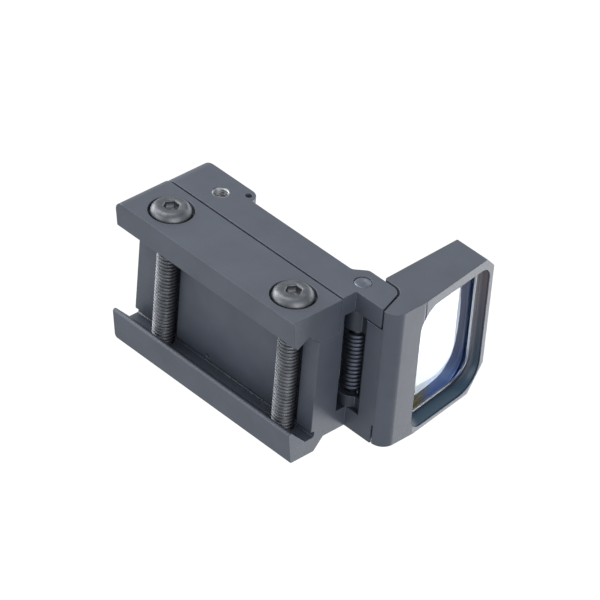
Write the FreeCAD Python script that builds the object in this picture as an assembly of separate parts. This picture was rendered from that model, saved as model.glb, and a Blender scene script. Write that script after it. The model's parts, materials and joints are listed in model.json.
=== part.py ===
import FreeCAD, Part

import math
import os

from FreeCAD import Vector

# Folding reflex sight with a cross-bolt clamp for a 21 mm dovetail rail.
# Millimetres. +X is the clamp side, +Y is the way the lens faces, +Z is up.
# The origin is the middle of the flat face that sits on the rail.

# Housing
SIDE_RIGHT = 15.7
SIDE_LEFT = -12.4
MIDDLE_X = (SIDE_RIGHT + SIDE_LEFT) / 2
FRONT_Y = 21.2
REAR_Y = -23.0
REAR_CORNER_RADIUS = 3.0
SEAM_Z = 4.7
DECK_Z = 11.5
BLOCK_TOP_Z = 13.6
BLOCK_FRONT_Y = -8.2
BLOCK_ROUNDING = 2.0

# Rail clamp
JAW_OUTER_X = -14.7
JAW_TIP_X = -7.3
JAW_TIP_Z = -5.5
GROOVE_LEFT_X = -11.5
SEAT_LEFT_X = -10.3
GROOVE_RIGHT_X = 11.2
PLATE_INNER_X = 8.6
PLATE_TOP_GAP = 0.32
PLATE_SIDE_GAP = 0.2
PLATE_REAR_Y = -22.6
PLATE_FRONT_Y = 21.45
PLATE_CORNER_RADIUS = 2.0
SCREW_SPAN = 30.0
SCREW_MIDDLE_Y = 0.4
SCREW_Z = -1.1
SCREW_RADIUS = 2.0
SCREW_HOLE_RADIUS = 2.06
SCREW_LENGTH = 28.0
SCREW_CHANNEL_WIDTH = 4.3
SCREW_CHANNEL_DEPTH = 1.0
HEAD_RADIUS = 3.8
HEAD_HEIGHT = 2.2
COUNTERBORE_RADIUS = 4.0
COUNTERBORE_DEPTH = 1.2

# Hinge
HINGE_Y = 20.0
HINGE_Z = 10.4
EAR_WIDTH = 4.0
EAR_TOP_Z = 13.55
EAR_FRONT_Y = 27.55
EAR_BOTTOM_Z = 7.8
PIN_RADIUS = 1.55
EAR_BORE_RADIUS = 1.57
LUG_BORE_RADIUS = 1.61
LUG_RADIUS = 3.0
LUG_RIGHT_WIDTH = 4.0
LUG_LEFT_WIDTH = 2.3
SIDE_GAP = 0.08
RECESS_REAR_Y = 16.4
RECESS_FLOOR_Z = 6.0
SPRING_WIRE_RADIUS = 0.36
SPRING_RADIUS = 2.05
SPRING_PITCH = 0.82
SPRING_CLEAR_RADIUS = 3.3

# Lens frame: the window is square to a front face that leans back
LEAN = 8.1
FACE_W = 11.11
FRAME_LEFT = -12.0
WINDOW_LEFT = -11.15
WINDOW_RIGHT = 13.75
WINDOW_LOW_V = 2.35
WINDOW_HIGH_V = 20.85
ROUNDING_LEFT_LOW = 2.5
ROUNDING_RIGHT_LOW = 4.5
ROUNDING_RIGHT_HIGH = 2.4
ROUNDING_LEFT_HIGH = 5.0
LENS_FRONT_DEPTH = 2.2
LENS_THICKNESS = 2.0
LENS_RADIUS = 110.0
LENS_FIT = 0.06
LIP_WIDTH = 0.35
LIP_THICKNESS = 0.5
REAR_OPENING_STEP = 0.3
REAR_OPENING_RISE = 0.7
BEZEL_WIDTH = 1.0
BEZEL_DEPTH = 0.35
FRAME_TOP_Z = 34.1
CROWN_RIGHT_X = 2.8
CROWN_RIGHT_Z = 2.7
CROWN_LEFT_X = 5.4
CROWN_LEFT_Z = 4.2
CROWN_ROUNDING = 0.4

# Battery tray
BATTERY_RADIUS = 8.0
BATTERY_THICKNESS = 3.2
BATTERY_X = -0.6
BATTERY_Y = 3.6
BAY_LOW_Z = 5.9
BAY_HIGH_Z = 10.3
TRAY_WALL = 0.9
TRAY_HALF_LENGTH = 9.1
CAP_HALF_LENGTH = 11.5
CAP_THICKNESS = 1.45
CAP_LOW_Z = 5.1
CAP_HIGH_Z = 10.8
TRAY_SCREW_Y = BATTERY_Y + 10.4
TRAY_SCREW_Z = 7.9
GRIP_Y = BATTERY_Y - 9.3
CONTACT_HALF_WIDTH = 1.5
CONTACT_THICKNESS = 0.25

# Aiming adjusters
ADJUSTER_Y = -13.3
WINDAGE_Z = 9.0
ADJUSTER_RADIUS = 1.5
ADJUSTER_BORE_RADIUS = 1.55
CARRIAGE_HALF_WIDTH = 5.4
CARRIAGE_SLOT_HALF_WIDTH = 2.0
POST_HALF_WIDTH = 1.4
POST_FRONT_Y = -10.4
BEAM_HALF_WIDTH = 1.7
EMITTER_Z = 11.65

# Buttons and rear cover
COVER_THICKNESS = 1.5
COVER_FIT = 0.1
BUTTON_RADIUS = 2.3
BUTTON_SPACING = 8.4
BUTTON_Z = 8.4
BUTTON_FLANGE = 0.35
COVER_HALF_WIDTH = 11.0
COVER_LOW_Z = 5.2
COVER_HIGH_Z = 12.8
COVER_SCREW_SPACING = 18.0
COVER_SCREW_RADIUS = 0.8
COVER_SCREW_HEAD_RADIUS = 1.65
COVER_SCREW_REACH = 3.2

# Electronics
ROOM_LEFT_X = -6.2
ROOM_RIGHT_X = 9.5
ROOM_LOW_Z = 5.4
ROOM_HIGH_Z = 11.1
BOARD_Y = REAR_Y + 3.7
BOARD_THICKNESS = 0.8
SWITCH_HEIGHT = 0.4
SWITCH_HALF_WIDTH = 1.5

# Catch for the folded lens frame
LATCH_LEFT_X = -9.7
LATCH_RIGHT_X = -4.9
LATCH_FIT = 0.15
LATCH_THICKNESS = 1.3
LATCH_RIDGE_Z = DECK_Z + 3.0
LATCH_TONGUE_DEPTH = 1.2

FINE_EDGE = 0.15
FAR = 60.0


# Drawing helpers

def across_x(x, u, v):
    return Vector(x, u, v)


def across_y(y, u, v):
    return Vector(u, y, v)


def across_z(z, u, v):
    return Vector(u, v, z)


def rounded_outline(place, level, corners):
    """Closed wire through corners (u, v, rounding) on the plane that place puts at level."""
    points = [Vector(u, v, 0) for u, v, _ in corners]
    count = len(corners)
    starts, middles, ends = [], [], []
    for i in range(count):
        here = points[i]
        before = (points[i - 1] - here).normalize()
        after = (points[(i + 1) % count] - here).normalize()
        rounding = corners[i][2]
        half = before.getAngle(after) / 2
        reach = rounding / math.tan(half)
        inward = (before + after).normalize()
        centre_distance = rounding / math.sin(half)
        starts.append(here + before * reach)
        ends.append(here + after * reach)
        middles.append(here + inward * (centre_distance - rounding))
    edges = []
    for i in range(count):
        a = place(level, starts[i].x, starts[i].y)
        m = place(level, middles[i].x, middles[i].y)
        b = place(level, ends[i].x, ends[i].y)
        n = place(level, starts[(i + 1) % count].x, starts[(i + 1) % count].y)
        if corners[i][2] > 0:
            edges.append(Part.Arc(a, m, b).toShape())
        if b.distanceToPoint(n) > 1e-6:
            edges.append(Part.LineSegment(b, n).toShape())
    return Part.Wire(edges)


def prism(place, low, high, corners):
    """Solid between two levels along the normal of the plane that place draws on."""
    face = Part.Face(rounded_outline(place, low, corners))
    return face.extrude(place(high, 0, 0) - place(low, 0, 0))


def box(x0, x1, y0, y1, z0, z1):
    return Part.makeBox(x1 - x0, y1 - y0, z1 - z0, Vector(x0, y0, z0))


def rod_x(x0, x1, y, z, radius):
    return Part.makeCylinder(radius, x1 - x0, Vector(x0, y, z), Vector(1, 0, 0))


def rod_y(y0, y1, x, z, radius):
    return Part.makeCylinder(radius, y1 - y0, Vector(x, y0, z), Vector(0, 1, 0))


def rod_z(z0, z1, x, y, radius):
    return Part.makeCylinder(radius, z1 - z0, Vector(x, y, z0), Vector(0, 0, 1))


def hexagon(centre, axis, across_flats, depth):
    """Hexagonal prism that starts at centre and runs along axis."""
    side = Vector(0, 0, 1) if abs(axis.z) < 0.5 else Vector(1, 0, 0)
    other = axis.cross(side)
    radius = across_flats / math.sqrt(3)
    angles = [math.radians(60 * i) for i in range(7)]
    corners = [centre + side * (radius * math.cos(a)) + other * (radius * math.sin(a)) for a in angles]
    return Part.Face(Part.makePolygon(corners)).extrude(axis * depth)


def leaned(shape):
    """Moves a shape drawn square to the hinge (x, w, v) onto the leaning front face."""
    shape = shape.copy()
    shape.rotate(Vector(0, 0, 0), Vector(1, 0, 0), LEAN)
    shape.translate(Vector(0, HINGE_Y, HINGE_Z))
    return shape


def chamfer_where(shape, size, chosen):
    """Chamfers the edges for which chosen(edge) is true."""
    return shape.makeChamfer(size, [e for e in shape.Edges if chosen(e)])


def at_x(edge, x):
    box_of = edge.BoundBox
    return abs(box_of.XMin - x) < 1e-4 and abs(box_of.XMax - x) < 1e-4


# Housing

def side_profile():
    """Silhouette of the housing seen from +X, as far as the hinge ears."""
    return [
        (REAR_Y, -20, 0), (REAR_Y, BLOCK_TOP_Z, 0.6),
        (BLOCK_FRONT_Y, BLOCK_TOP_Z, BLOCK_ROUNDING), (BLOCK_FRONT_Y, DECK_Z, 0),
        (HINGE_Y - 3.8, DECK_Z, 1.2), (HINGE_Y - 1.7, EAR_TOP_Z, 1.2),
        (EAR_FRONT_Y - 1.95, EAR_TOP_Z, 2.2), (EAR_FRONT_Y, EAR_BOTTOM_Z, 0.3),
        (FRONT_Y, EAR_BOTTOM_Z, 0), (FRONT_Y, -20, 0),
    ]


def cross_section():
    """Section of the housing across the sight, with the fixed jaw and half of the rail groove."""
    return [
        (PLATE_INNER_X, 0, 0), (PLATE_INNER_X, SEAM_Z, 0), (SIDE_RIGHT, SEAM_Z, 0), (SIDE_RIGHT, 20, 0),
        (SIDE_LEFT, 20, 0), (SIDE_LEFT, 3.0, 0), (JAW_OUTER_X, 1.0, 0), (JAW_OUTER_X, -4.4, 0.5),
        (JAW_TIP_X, JAW_TIP_Z, 0.45), (GROOVE_LEFT_X, -1.3, 0.2), (GROOVE_LEFT_X, 0.75, 0.3),
        (SEAT_LEFT_X, 0.75, 0.3), (SEAT_LEFT_X, 0, 0),
    ]


def plan_outline():
    """Plan view of the housing, with its rear corners rounded."""
    return [
        (JAW_OUTER_X, REAR_Y, 1.0), (SIDE_RIGHT, REAR_Y, REAR_CORNER_RADIUS),
        (SIDE_RIGHT, FAR, 0), (JAW_OUTER_X, FAR, 0),
    ]


def screw_positions():
    return [SCREW_MIDDLE_Y - SCREW_SPAN / 2, SCREW_MIDDLE_Y + SCREW_SPAN / 2]


def battery_bay():
    """Space of the tray and its cap, open at the left side."""
    half = TRAY_HALF_LENGTH + 0.1
    cap_half = CAP_HALF_LENGTH + 0.1
    bay = box(SIDE_LEFT + 1.4, 8.9, BATTERY_Y - half, BATTERY_Y + half, BAY_LOW_Z, BAY_HIGH_Z)
    cap = box(SIDE_LEFT - 1, SIDE_LEFT + CAP_THICKNESS + 0.05, BATTERY_Y - cap_half, BATTERY_Y + cap_half,
              CAP_LOW_Z - 0.1, CAP_HIGH_Z + 0.1)
    thread = rod_x(SIDE_LEFT, SIDE_LEFT + 6, TRAY_SCREW_Y, TRAY_SCREW_Z, 0.85)
    slot_half = CONTACT_HALF_WIDTH + 0.2
    contact_slot = box(-6.0, 8.9, BATTERY_Y - slot_half, BATTERY_Y + slot_half,
                       BAY_LOW_Z - CONTACT_THICKNESS - 0.1, BAY_LOW_Z + 0.1)
    return [bay, cap, thread, contact_slot]


def electronics_bay():
    """Room for the board and the aiming carriage, closed by the rear cover."""
    nose_half = CARRIAGE_HALF_WIDTH + 0.5
    room = box(ROOM_LEFT_X, ROOM_RIGHT_X, REAR_Y + 1, -12.6, ROOM_LOW_Z, ROOM_HIGH_Z)
    nose = box(MIDDLE_X - nose_half, MIDDLE_X + nose_half, -13, POST_FRONT_Y + 0.7,
               ROOM_LOW_Z + 0.5, DECK_Z + 1)
    cover_seat = box(MIDDLE_X - COVER_HALF_WIDTH, MIDDLE_X + COVER_HALF_WIDTH, REAR_Y - 1,
                     REAR_Y + COVER_THICKNESS, COVER_LOW_Z, COVER_HIGH_Z)
    beam = box(MIDDLE_X - BEAM_HALF_WIDTH, MIDDLE_X + BEAM_HALF_WIDTH, -10, -7, DECK_Z + 0.05, 13.1)
    cuts = [room, nose, cover_seat, beam]
    for side in (-1, 1):
        x = MIDDLE_X + side * COVER_SCREW_SPACING / 2
        cuts.append(rod_y(REAR_Y, REAR_Y + 6, x, BUTTON_Z, COVER_SCREW_RADIUS + 0.05))
    cuts.append(rod_x(7.5, SIDE_RIGHT + 1, ADJUSTER_Y, WINDAGE_Z, ADJUSTER_BORE_RADIUS))
    cuts.append(rod_z(10, BLOCK_TOP_Z + 1, MIDDLE_X, ADJUSTER_Y, ADJUSTER_BORE_RADIUS))
    return cuts


def latch_slot():
    return box(LATCH_LEFT_X - LATCH_FIT, LATCH_RIGHT_X + LATCH_FIT, -12.0, BLOCK_FRONT_Y + 1,
               DECK_Z, DECK_Z + LATCH_THICKNESS + 0.1)


def make_housing():
    shape = prism(across_y, REAR_Y, FAR, cross_section())
    shape = shape.common(prism(across_x, JAW_OUTER_X - 1, SIDE_RIGHT + 1, side_profile()))
    shape = shape.common(prism(across_z, -FAR, FAR, plan_outline()))
    inner_left = SIDE_LEFT + EAR_WIDTH
    inner_right = SIDE_RIGHT - EAR_WIDTH
    recess = prism(across_x, inner_left, inner_right, [
        (RECESS_REAR_Y, FAR, 0), (RECESS_REAR_Y, RECESS_FLOOR_Z, 1.5),
        (FRONT_Y - 0.5, RECESS_FLOOR_Z, 0), (FRONT_Y + 0.1, RECESS_FLOOR_Z - 0.6, 0),
        (FAR, RECESS_FLOOR_Z - 0.6, 0), (FAR, FAR, 0)])
    cuts = [recess, rod_x(-FAR, FAR, HINGE_Y, HINGE_Z, EAR_BORE_RADIUS)]
    for y in screw_positions():
        half = SCREW_CHANNEL_WIDTH / 2
        cuts.append(rod_x(-FAR, PLATE_INNER_X + 1, y, SCREW_Z, SCREW_HOLE_RADIUS))
        cuts.append(box(SEAT_LEFT_X - 0.5, PLATE_INNER_X + 1, y - half, y + half, SCREW_Z, SCREW_CHANNEL_DEPTH))
    cuts += battery_bay() + electronics_bay() + [latch_slot()]
    cuts.append(rod_x(SIDE_RIGHT - 2.5, SIDE_RIGHT + 1, -9.7, 12.15, 0.6))
    cuts.append(rod_z(-1, 0.5, -9.6, -4.5, 0.45))
    return shape.cut(Part.makeCompound(cuts)).removeSplitter()


def make_rear_cover():
    low_x = MIDDLE_X - COVER_HALF_WIDTH + COVER_FIT
    high_x = MIDDLE_X + COVER_HALF_WIDTH - COVER_FIT
    low_z = COVER_LOW_Z + COVER_FIT
    high_z = COVER_HIGH_Z - COVER_FIT
    outline = [(low_x, low_z, 0.8), (high_x, low_z, 0.8), (high_x, high_z, 0.8), (low_x, high_z, 0.8)]
    cover = prism(across_y, REAR_Y, REAR_Y + COVER_THICKNESS - 0.02, outline)
    for side in (-1, 1):
        x = MIDDLE_X + side * COVER_SCREW_SPACING / 2
        cover = cover.cut(rod_y(REAR_Y - 1, REAR_Y + 3, x, BUTTON_Z, COVER_SCREW_RADIUS + 0.25))
        cover = cover.cut(rod_y(REAR_Y - 1, REAR_Y + 0.75, x, BUTTON_Z, COVER_SCREW_HEAD_RADIUS + 0.1))
        button_x = MIDDLE_X + side * BUTTON_SPACING / 2
        cover = cover.cut(rod_y(REAR_Y - 1, REAR_Y + 3, button_x, BUTTON_Z, BUTTON_RADIUS + 0.08))
    return cover


def make_cover_screws():
    screws = []
    for side in (-1, 1):
        x = MIDDLE_X + side * COVER_SCREW_SPACING / 2
        head = rod_y(REAR_Y + 0.1, REAR_Y + 0.73, x, BUTTON_Z, COVER_SCREW_HEAD_RADIUS)
        screw = head.fuse(rod_y(REAR_Y + 0.5, REAR_Y + COVER_SCREW_REACH, x, BUTTON_Z, COVER_SCREW_RADIUS))
        screws.append(screw.cut(hexagon(Vector(x, REAR_Y, BUTTON_Z), Vector(0, 1, 0), 1.2, 0.5)))
    return Part.makeCompound(screws)


def make_button(side):
    x = MIDDLE_X + side * BUTTON_SPACING / 2
    stem = rod_y(REAR_Y - 0.6, REAR_Y + 2.2, x, BUTTON_Z, BUTTON_RADIUS)
    stem = stem.makeFillet(0.5, [e for e in stem.Edges if e.BoundBox.YMax < REAR_Y])
    flange = rod_y(REAR_Y + 2.2, REAR_Y + 2.6, x, BUTTON_Z, BUTTON_RADIUS + BUTTON_FLANGE)
    return stem.fuse(flange).removeSplitter()


def make_circuit_board():
    front = BOARD_Y + BOARD_THICKNESS
    board = box(ROOM_LEFT_X + 0.2, ROOM_RIGHT_X - 0.2, BOARD_Y, front, ROOM_LOW_Z + 0.3, ROOM_HIGH_Z - 0.3)
    chips = box(MIDDLE_X - 1.6, MIDDLE_X + 1.6, front, front + 0.7, 6.2, 8.6)
    return board.fuse(chips).removeSplitter()


def make_button_switches():
    switches = []
    for side in (-1, 1):
        x = MIDDLE_X + side * BUTTON_SPACING / 2
        rear = BOARD_Y - SWITCH_HEIGHT
        base = box(x - SWITCH_HALF_WIDTH, x + SWITCH_HALF_WIDTH, rear, BOARD_Y,
                   BUTTON_Z - SWITCH_HALF_WIDTH, BUTTON_Z + SWITCH_HALF_WIDTH)
        cap = rod_y(rear - 0.1, rear + 0.1, x, BUTTON_Z, 0.6 * SWITCH_HALF_WIDTH)
        switches.append(base.fuse(cap).removeSplitter())
    return Part.makeCompound(switches)


# Rail clamp

def plate_section():
    """Section of the clamp plate, with its half of the rail groove and its small hooked lip."""
    top = SEAM_Z - PLATE_TOP_GAP
    inner = PLATE_INNER_X + PLATE_SIDE_GAP
    return [
        (SIDE_RIGHT, top, 0), (SIDE_RIGHT, -6.7, 0), (10.2, -5.85, 0.2), (9.75, -5.1, 0.2),
        (GROOVE_RIGHT_X, -2.6, 0), (inner, -0.05, 0), (inner, top, 0),
    ]


def make_clamp_plate():
    plate = prism(across_y, PLATE_REAR_Y, PLATE_FRONT_Y, plate_section())
    outline = [
        (0, PLATE_REAR_Y, 0), (SIDE_RIGHT, PLATE_REAR_Y, PLATE_CORNER_RADIUS),
        (SIDE_RIGHT, FAR, 0), (0, FAR, 0)]
    plate = plate.common(prism(across_z, -FAR, FAR, outline))
    for y in screw_positions():
        plate = plate.cut(rod_x(0, FAR, y, SCREW_Z, SCREW_HOLE_RADIUS + 0.05))
        plate = plate.cut(rod_x(SIDE_RIGHT - COUNTERBORE_DEPTH, FAR, y, SCREW_Z, COUNTERBORE_RADIUS))
    return plate


def make_clamp_screw(y):
    """Button-head screw with a hexagon socket; the shank is drawn at its outer diameter."""
    seat = SIDE_RIGHT - COUNTERBORE_DEPTH + 0.02
    crown = seat + HEAD_HEIGHT
    rim = 0.4
    shoulder = 0.62 * HEAD_RADIUS
    centre = Vector(0, y, SCREW_Z)

    def point(x, radius):
        return centre + Vector(x, 0, radius)

    edges = [
        Part.LineSegment(point(seat, 0), point(seat, HEAD_RADIUS)).toShape(),
        Part.LineSegment(point(seat, HEAD_RADIUS), point(seat + rim, HEAD_RADIUS)).toShape(),
        Part.Arc(point(seat + rim, HEAD_RADIUS), point(crown - 0.42, 0.87 * HEAD_RADIUS),
                 point(crown, shoulder)).toShape(),
        Part.LineSegment(point(crown, shoulder), point(crown, 0)).toShape(),
        Part.LineSegment(point(crown, 0), point(seat, 0)).toShape(),
    ]
    head = Part.Face(Part.Wire(edges)).revolve(centre, Vector(1, 0, 0), 360)
    shank = rod_x(seat - SCREW_LENGTH, seat + 0.1, y, SCREW_Z, SCREW_RADIUS)
    shank = chamfer_where(shank, 0.5, lambda e: at_x(e, seat - SCREW_LENGTH))
    screw = head.fuse(shank)
    return screw.cut(hexagon(point(crown - 1.3, 0), Vector(1, 0, 0), 2.5, 2)).removeSplitter()


# Hinge

def make_hinge_pin():
    pin = rod_x(SIDE_LEFT + 0.1, SIDE_RIGHT - 0.05, HINGE_Y, HINGE_Z, PIN_RADIUS)
    return pin.makeChamfer(FINE_EDGE, [e for e in pin.Edges if len(e.Vertexes) == 1])


def make_hinge_spring():
    """Close coil on the pin, one leg down to the housing and one up to the lens frame."""
    low = SIDE_LEFT + EAR_WIDTH + SIDE_GAP + LUG_LEFT_WIDTH + 0.5
    high = SIDE_RIGHT - EAR_WIDTH - SIDE_GAP - LUG_RIGHT_WIDTH - 0.5
    turns = round((high - low) / SPRING_PITCH) - 0.5
    length = turns * SPRING_PITCH
    helix = Part.makeHelix(SPRING_PITCH, length, SPRING_RADIUS)
    section = Part.Wire(Part.makeCircle(SPRING_WIRE_RADIUS, Vector(SPRING_RADIUS, 0, 0), Vector(0, 1, 0)))
    coil = Part.Wire(helix.Edges).makePipeShell([section], True, True)
    coil.rotate(Vector(0, 0, 0), Vector(0, 1, 0), 90)
    coil.rotate(Vector(0, 0, 0), Vector(1, 0, 0), -90)
    coil.translate(Vector(low, HINGE_Y, HINGE_Z))
    leg_up = rod_z(HINGE_Z, HINGE_Z + 2.2, low, HINGE_Y + SPRING_RADIUS, SPRING_WIRE_RADIUS)
    leg_down = rod_z(RECESS_FLOOR_Z + 0.1, HINGE_Z, low + length, HINGE_Y - SPRING_RADIUS, SPRING_WIRE_RADIUS)
    return coil, leg_up, leg_down


# Lens frame

def window_outline(inset, rise=0.0):
    """Rounded window seen square on, shrunk by inset on every side and raised by rise at the top."""
    left = WINDOW_LEFT + inset
    right = WINDOW_RIGHT - inset
    low = WINDOW_LOW_V + inset
    high = WINDOW_HIGH_V - inset + rise
    return [
        (left, low, ROUNDING_LEFT_LOW - inset), (right, low, ROUNDING_RIGHT_LOW - inset),
        (right, high, ROUNDING_RIGHT_HIGH - inset), (left, high, ROUNDING_LEFT_HIGH - inset)]


def window_solid(near_w, far_w, inset, rise=0.0):
    return leaned(prism(across_y, near_w, far_w, window_outline(inset, rise)))


def frame_profile():
    """Side view of the lens frame, with the hollow that clears the hinge ears."""
    return [
        (20.95, FRAME_TOP_Z, 0.5), (27.95, FRAME_TOP_Z - 0.3, 0.4), (30.5, 15.0, 6.0), (30.55, 7.6, 2.5),
        (27.95, 7.6, 0), (25.9, 13.95, 2.4), (21.5, 13.95, 0.5),
    ]


def frame_middle_profile():
    """Side view of the lens frame between the ears, hollowed round the coil spring."""
    return [
        (20.95, FRAME_TOP_Z, 0.5), (27.95, FRAME_TOP_Z - 0.3, 0.4), (30.5, 15.0, 6.0), (30.55, 7.6, 2.5),
        (24.3, 7.6, 0.4), (21.0, 11.0, 0), (21.5, 13.95, 0),
    ]


def lug(x0, x1):
    """Knuckle of the lens frame, from the pin to the frame's lower bar."""
    round_end = rod_x(x0, x1, HINGE_Y, HINGE_Z, LUG_RADIUS)
    arm = box(x0, x1, HINGE_Y, HINGE_Y + 6, HINGE_Z - 1.8, HINGE_Z + LUG_RADIUS)
    return round_end.fuse(arm)


def make_lens_frame():
    inner_left = SIDE_LEFT + EAR_WIDTH + SIDE_GAP
    inner_right = SIDE_RIGHT - EAR_WIDTH - SIDE_GAP
    cheeks = prism(across_x, FRAME_LEFT, SIDE_RIGHT, frame_profile())
    middle = prism(across_x, inner_left, inner_right, frame_middle_profile())
    frame = cheeks.fuse(middle)
    frame = frame.cut(rod_x(inner_left - 1, inner_right + 1, HINGE_Y, HINGE_Z, SPRING_CLEAR_RADIUS)
                      .common(box(inner_left, inner_right, 0, FAR, -FAR, FAR)))
    frame = frame.fuse(lug(inner_right - LUG_RIGHT_WIDTH, inner_right))
    frame = frame.fuse(lug(inner_left, inner_left + LUG_LEFT_WIDTH))
    frame = frame.cut(rod_x(-FAR, FAR, HINGE_Y, HINGE_Z, LUG_BORE_RADIUS))
    crown = [
        (FRAME_LEFT, -FAR, 0), (SIDE_RIGHT, -FAR, 0),
        (SIDE_RIGHT, FRAME_TOP_Z - CROWN_RIGHT_Z, CROWN_ROUNDING),
        (SIDE_RIGHT - CROWN_RIGHT_X, FRAME_TOP_Z, CROWN_ROUNDING),
        (FRAME_LEFT + CROWN_LEFT_X, FRAME_TOP_Z, CROWN_ROUNDING),
        (FRAME_LEFT, FRAME_TOP_Z - CROWN_LEFT_Z, CROWN_ROUNDING),
    ]
    frame = frame.common(prism(across_y, -FAR, FAR, crown))
    lens_back = FACE_W - LENS_FRONT_DEPTH - LENS_THICKNESS
    frame = frame.cut(window_solid(lens_back, FACE_W + 5, 0))
    frame = frame.cut(window_solid(lens_back - LIP_THICKNESS - 1, lens_back + 1, LIP_WIDTH))
    frame = frame.cut(window_solid(-5, lens_back - LIP_THICKNESS, -REAR_OPENING_STEP, REAR_OPENING_RISE))
    latch_notch = box(LATCH_LEFT_X - LATCH_FIT, LATCH_RIGHT_X + LATCH_FIT, HINGE_Y + 1.75, HINGE_Y + 2.9,
                      FRAME_TOP_Z - LATCH_TONGUE_DEPTH, FRAME_TOP_Z + 1)
    return frame.cut(latch_notch).removeSplitter()


def make_lens():
    """Concave collimating lens: both faces are parts of spheres centred behind it."""
    back = FACE_W - LENS_FRONT_DEPTH - LENS_THICKNESS
    blank = prism(across_y, back + 0.03, back + LENS_THICKNESS, window_outline(LENS_FIT))
    middle_v = (WINDOW_LOW_V + WINDOW_HIGH_V) / 2
    centre = Vector(MIDDLE_X, back + LENS_THICKNESS - LENS_RADIUS, middle_v)
    outer = Part.makeSphere(LENS_RADIUS, centre)
    inner = Part.makeSphere(LENS_RADIUS, centre - Vector(0, LENS_THICKNESS - 0.75, 0))
    return leaned(blank.common(outer).cut(inner))


def make_lens_bezel():
    """Thin ring pressed into the window in front of the lens."""
    front = FACE_W - LENS_FRONT_DEPTH + 0.02 + BEZEL_DEPTH
    ring = prism(across_y, front - BEZEL_DEPTH, front, window_outline(LENS_FIT))
    hole = prism(across_y, front - 2, front + 2, window_outline(BEZEL_WIDTH))
    return leaned(ring.cut(hole))


# Battery

def make_battery_tray():
    """Ring that carries the coin cell, with a flush cap that closes the bay."""
    cap_outline = [
        (BATTERY_Y - CAP_HALF_LENGTH, CAP_LOW_Z, 0.7), (BATTERY_Y + CAP_HALF_LENGTH, CAP_LOW_Z, 0.7),
        (BATTERY_Y + CAP_HALF_LENGTH, CAP_HIGH_Z, 0.7), (BATTERY_Y - CAP_HALF_LENGTH, CAP_HIGH_Z, 0.7)]
    cap = prism(across_x, SIDE_LEFT, SIDE_LEFT + CAP_THICKNESS, cap_outline)
    ring = box(SIDE_LEFT + 1.4, 8.6, BATTERY_Y - TRAY_HALF_LENGTH, BATTERY_Y + TRAY_HALF_LENGTH,
               BAY_LOW_Z + 0.1, BAY_LOW_Z + 2.8)
    tray = cap.fuse(ring)
    tray = tray.cut(rod_z(BAY_LOW_Z + 0.65, 20, BATTERY_X, BATTERY_Y, BATTERY_RADIUS + 0.1))
    tray = tray.cut(rod_z(0, 20, BATTERY_X, BATTERY_Y, BATTERY_RADIUS - TRAY_WALL))
    tray = tray.cut(rod_x(SIDE_LEFT - 1, SIDE_LEFT + 3, TRAY_SCREW_Y, TRAY_SCREW_Z, 0.9))
    tray = tray.cut(rod_x(SIDE_LEFT - 1, SIDE_LEFT + 0.75, TRAY_SCREW_Y, TRAY_SCREW_Z, 1.0))
    grip = prism(across_x, SIDE_LEFT - 1, SIDE_LEFT + 0.6, [
        (GRIP_Y - 1.1, 6.4, 0.5), (GRIP_Y + 1.1, 6.4, 0.5),
        (GRIP_Y + 1.1, 9.5, 0.5), (GRIP_Y - 1.1, 9.5, 0.5)])
    return tray.cut(grip).removeSplitter()


def make_battery():
    low = BAY_LOW_Z + 0.7
    cell = rod_z(low, low + BATTERY_THICKNESS, BATTERY_X, BATTERY_Y, BATTERY_RADIUS)
    return cell.makeFillet(0.35, [e for e in cell.Edges if len(e.Vertexes) == 1])


def make_tray_screw():
    head = rod_x(SIDE_LEFT + 0.05, SIDE_LEFT + 0.7, TRAY_SCREW_Y, TRAY_SCREW_Z, 0.95)
    screw = head.fuse(rod_x(SIDE_LEFT + 0.5, SIDE_LEFT + 5, TRAY_SCREW_Y, TRAY_SCREW_Z, 0.78))
    slot = box(SIDE_LEFT - 1, SIDE_LEFT + 0.4, TRAY_SCREW_Y - 2, TRAY_SCREW_Y + 2,
               TRAY_SCREW_Z - 0.15, TRAY_SCREW_Z + 0.15)
    return screw.cut(slot)


def make_battery_contacts():
    """Leaf against the top of the cell and leaf in the floor below it."""
    low_y = BATTERY_Y - CONTACT_HALF_WIDTH
    high_y = BATTERY_Y + CONTACT_HALF_WIDTH
    floor = BAY_LOW_Z - CONTACT_THICKNESS - 0.1
    upper = box(-4.0, 7.0, low_y, high_y, BAY_HIGH_Z - CONTACT_THICKNESS + 0.05, BAY_HIGH_Z)
    lower = box(-5.5, 8.5, low_y, high_y, floor, floor + CONTACT_THICKNESS)
    return Part.makeCompound([upper, lower])


# Aiming dot

def make_windage_carriage():
    """Block that the side screw moves left and right."""
    block = box(MIDDLE_X - CARRIAGE_HALF_WIDTH, MIDDLE_X + CARRIAGE_HALF_WIDTH, -15.4, -10.2, 6.3, 10.6)
    slot = box(MIDDLE_X - CARRIAGE_SLOT_HALF_WIDTH, MIDDLE_X + CARRIAGE_SLOT_HALF_WIDTH, -14.9, -9, 6.8, FAR)
    return block.cut(slot)


def make_emitter_holder():
    """Small post in the carriage that the top screw moves up and down."""
    foot_half = CARRIAGE_SLOT_HALF_WIDTH - 0.08
    foot = box(MIDDLE_X - foot_half, MIDDLE_X + foot_half, -14.8, POST_FRONT_Y, 7.2, 10.3)
    post = box(MIDDLE_X - POST_HALF_WIDTH, MIDDLE_X + POST_HALF_WIDTH, -11.6, POST_FRONT_Y, 10.3, 12.1)
    return foot.fuse(post).removeSplitter()


def make_emitter():
    front = POST_FRONT_Y + 0.4
    chip = box(MIDDLE_X - 0.6, MIDDLE_X + 0.6, POST_FRONT_Y, front, EMITTER_Z - 0.35, EMITTER_Z + 0.35)
    return chip.fuse(rod_y(front - 0.1, front + 0.15, MIDDLE_X, EMITTER_Z, 0.25)).removeSplitter()


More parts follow.
